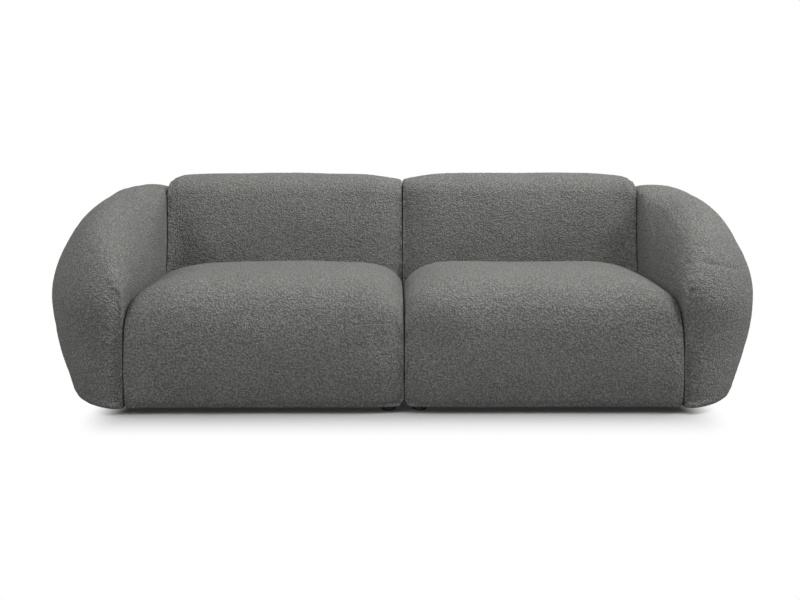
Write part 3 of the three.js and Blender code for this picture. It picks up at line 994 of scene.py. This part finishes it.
def makeUndersideCloth(side):
    source = f"underside_cloth_{side}"
    obj = joinedCopy([source], f"underside_sheet_{side}")
    low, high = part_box(source)
    mesh = bmesh.new()
    mesh.from_mesh(obj.data)
    others = [face for face in mesh.faces if face.normal.z > underside["downFacing"]]
    bmesh.ops.delete(mesh, geom=others, context="FACES")
    flatAngle = underside["flatAngle"]
    bmesh.ops.dissolve_limit(mesh, angle_limit=flatAngle, verts=mesh.verts, edges=mesh.edges)
    cutIntoGrid(mesh, low, high)
    flatArea = sum(face.calc_area() for face in mesh.faces)
    mesh.to_mesh(obj.data)
    mesh.free()
    points = pointsOf(obj)
    front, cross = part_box(f"rail_front_{side}"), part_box(f"rail_cross_{side}")
    rear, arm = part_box(f"rail_rear_{side}"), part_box(f"rail_arm_{side}")
    armEdge = min(abs(arm[0].x), abs(arm[1].x))
    across = between(np.abs(points[:, 0]), underside["hookRoom"], armEdge)
    bays = between(points[:, 1], front[1].y, cross[0].y) + between(points[:, 1], cross[1].y, rear[0].y)
    loose = across * bays
    stretched = points * underside["wrinkleStretch"]
    folds = softNoise(stretched, underside["wrinkleSize"], seeds["cloth"] + sides[side])
    points[:, 2] -= loose * underside["sag"] + np.sqrt(loose) * underside["wrinkleHeight"] * folds
    setPoints(obj, points)
    applyModifier(obj, "SOLIDIFY", thickness=underside["thickness"], offset=-1)
    obj.data.materials.clear()
    obj.data.materials.append(undersideFabric)
    makeActive(obj)
    bpy.ops.object.shade_smooth_by_angle(angle=math.radians(underside["smoothAngle"]))
    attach(obj, f"{side}_half")
    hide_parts(source)
    rails = [f"rail_{rail}_{side}" for rail in ("front", "middle", "arm", "rear")]
    rails.append(f"arm_board_{side}")


for side in sides:
    makeUndersideCloth(side)
report("underside cloth")

# The floor and lights

stage = {
    "floorSize": 40,
    "floorColour": 0.38,
    "fillStrength": 0.05,
    "shadowBox": (1.50, 0.45, 0),
    "shadowSqueeze": (1.75, 1, 1),
    "shadowFade": (0.03, 0.27),
    "shadowLeast": 0.022,
    "middle": Vector((0, 0, 0.4)),
}


def seenWhite(shade):
    # 1 for rays that come from the camera or off a gloss, which see a white background
    seen = shade.node("ShaderNodeLightPath", out="Is Camera Ray")
    for ray in ("Is Glossy Ray", "Is Transmission Ray"):
        seen = shade.math("MAXIMUM", seen, shade.node("ShaderNodeLightPath", out=ray))
    return seen


def lightWorld():
    world = bpy.data.worlds.new("studio")
    bpy.context.scene.world = world
    shade = Shade(world)
    strength = stage["fillStrength"] + (1 - stage["fillStrength"]) * seenWhite(shade)
    background = shade.node("ShaderNodeBackground", {"Color": (1, 1, 1, 1), "Strength": strength})
    shade.node("ShaderNodeOutputWorld", {"Surface": background})


def makeFloor():
    bpy.ops.mesh.primitive_plane_add(size=stage["floorSize"])
    floor = bpy.context.active_object
    floor.name = "floor"
    shade = newShade("floor")
    place = shade.vector("ABSOLUTE", shade.place(stage["shadowSqueeze"]), (0, 0, 0))
    outside = shade.vector("SUBTRACT", place, stage["shadowBox"])
    outside = shade.vector("MAXIMUM", outside, (0, 0, 0))
    distance = shade.node("ShaderNodeVectorMath", {0: outside}, {"operation": "LENGTH"}, "Value")
    far = shade.spread(distance, *stage["shadowFade"], stage["shadowLeast"])
    matte = shade.node("ShaderNodeBsdfDiffuse", {"Color": grey(stage["floorColour"])})
    white = shade.node("ShaderNodeEmission", {"Color": (1, 1, 1, 1), "Strength": 1})
    mixed = shade.node("ShaderNodeMixShader", {0: far * seenWhite(shade), 1: matte, 2: white})
    shade.node("ShaderNodeOutputMaterial", {"Surface": mixed})
    floor.data.materials.append(shade.block)


def areaLight(name, place, size, power):
    data = bpy.data.lights.new(name, "AREA")
    data.shape = "RECTANGLE"
    data.size, data.size_y = size
    data.energy = power
    obj = bpy.data.objects.new(name, data)
    obj.location = place
    obj.rotation_euler = (stage["middle"] - Vector(place)).to_track_quat("-Z", "Y").to_euler()
    bpy.context.scene.collection.objects.link(obj)


# each lamp's place, its sides in metres and its power. All of them face the middle of the sofa.
lamps = {
    "rightHigh": ((3.54, 0, 4.61), (2.2, 2.2), 205),
    "rightFront": ((3.32, -1.21, 4.61), (2.2, 2.2), 116),
    "rightLow": ((5.20, -1.20, 1.90), (2.2, 2.2), 94),
    "topMiddle": ((0, 0, 3), (3, 2), 20),
    "topFront": ((0, -1.6, 2.8), (3, 1.5), 54),
    "leftFront": ((-3.82, -3.20, 2.72), (2.2, 2.2), 90),
    "leftBack": ((-4.69, 0.83, 3.15), (2.2, 2.2), 75),
    "rear": ((0, 4.6, 1.2), (3, 1.5), 105),
}

deselectAll()
lightWorld()
makeFloor()
for lampName, lamp in lamps.items():
    areaLight(lampName, *lamp)
bpy.context.scene.view_settings.view_transform = "Standard"
report("stage")
